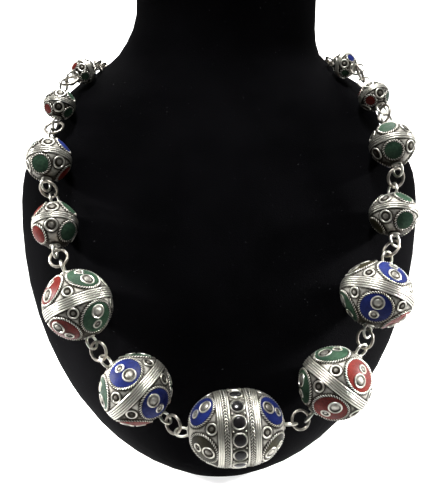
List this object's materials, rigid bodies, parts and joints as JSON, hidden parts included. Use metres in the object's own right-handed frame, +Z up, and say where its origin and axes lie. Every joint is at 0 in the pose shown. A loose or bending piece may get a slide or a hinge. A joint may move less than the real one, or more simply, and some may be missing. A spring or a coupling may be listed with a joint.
{
  "type": "enamel bead necklace on a neck bust display",
  "caption": "Silver necklace of graded hollow beads with wire work and enamel discs, linked by rings, lying on a plain black velvet neck bust.",
  "frame": {"origin": "middle of the flat base, on the floor", "axes": "+Z up, -Y towards the viewer whom the necklace faces, +X to the viewer's right"},
  "size_m": [0.206, 0.1978, 0.2453],
  "materials": {
    "silver": "bright worn silver with dark tarnish in the recesses",
    "silver_wire": "worn drawn silver wire",
    "blue_enamel": "glossy cloisonne enamel, slightly uneven",
    "green_enamel": "glossy cloisonne enamel, slightly uneven",
    "olive_enamel": "glossy cloisonne enamel, slightly uneven",
    "red_enamel": "glossy cloisonne enamel, slightly uneven",
    "black_glass": "polished black glass cabochons",
    "black_velvet": "short black velvet pile"
  },
  "bodies": {
    "root": {"neck_bust": "black_velvet", "bead_centre": "silver", "bead_left_1": "silver", "bead_left_2": "silver", "bead_left_3": "silver", "bead_left_4": "silver", "bead_left_5": "silver", "bead_left_6": "silver", "bead_right_1": "silver", "bead_right_2": "silver", "bead_right_3": "silver", "bead_right_4": "silver", "bead_right_5": "silver", "bead_right_6": "silver", "ring_left_1": "silver_wire", "ring_left_2": "silver_wire", "ring_left_3": "silver_wire", "ring_left_4": "silver_wire", "ring_left_5": "silver_wire", "ring_left_6": "silver_wire", "ring_right_1": "silver_wire", "ring_right_2": "silver_wire", "ring_right_3": "silver_wire", "ring_right_4": "silver_wire", "ring_right_5": "silver_wire", "ring_right_6": "silver_wire", "chain_left": "silver_wire", "chain_right": "silver_wire", "hook_clasp": "silver_wire", "enamel_blue": "blue_enamel", "enamel_green": "green_enamel", "enamel_olive": "olive_enamel", "enamel_red": "red_enamel", "black_stones": "black_glass"}
  },
  "joints": []
}
